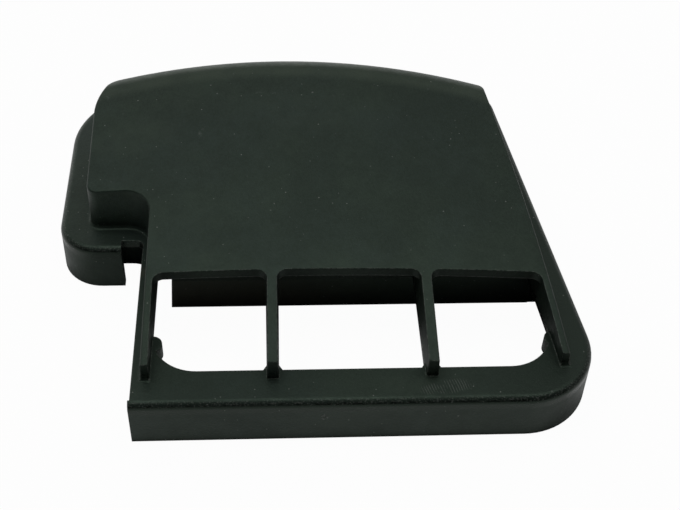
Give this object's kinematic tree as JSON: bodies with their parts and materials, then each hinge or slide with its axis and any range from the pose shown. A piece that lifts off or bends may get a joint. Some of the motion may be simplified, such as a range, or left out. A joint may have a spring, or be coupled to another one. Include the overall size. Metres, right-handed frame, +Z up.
{
  "type": "air filter cover",
  "caption": "Black moulded plastic air filter cover with a sloping hood, a windowed intake between ribs and a skirted flange with a cut-back left side.",
  "frame": {"origin": "middle of the footprint, on the plane that the skirt stands on", "axes": "+X to the right across the windows, +Y from the windows to the high back, +Z up through the deck"},
  "size_m": [0.1594, 0.1404, 0.0414],
  "materials": {
    "black_plastic": "satin, fine moulded grain with light scuffs and dust"
  },
  "bodies": {
    "root": {"air_filter_cover": "black_plastic"}
  },
  "joints": []
}
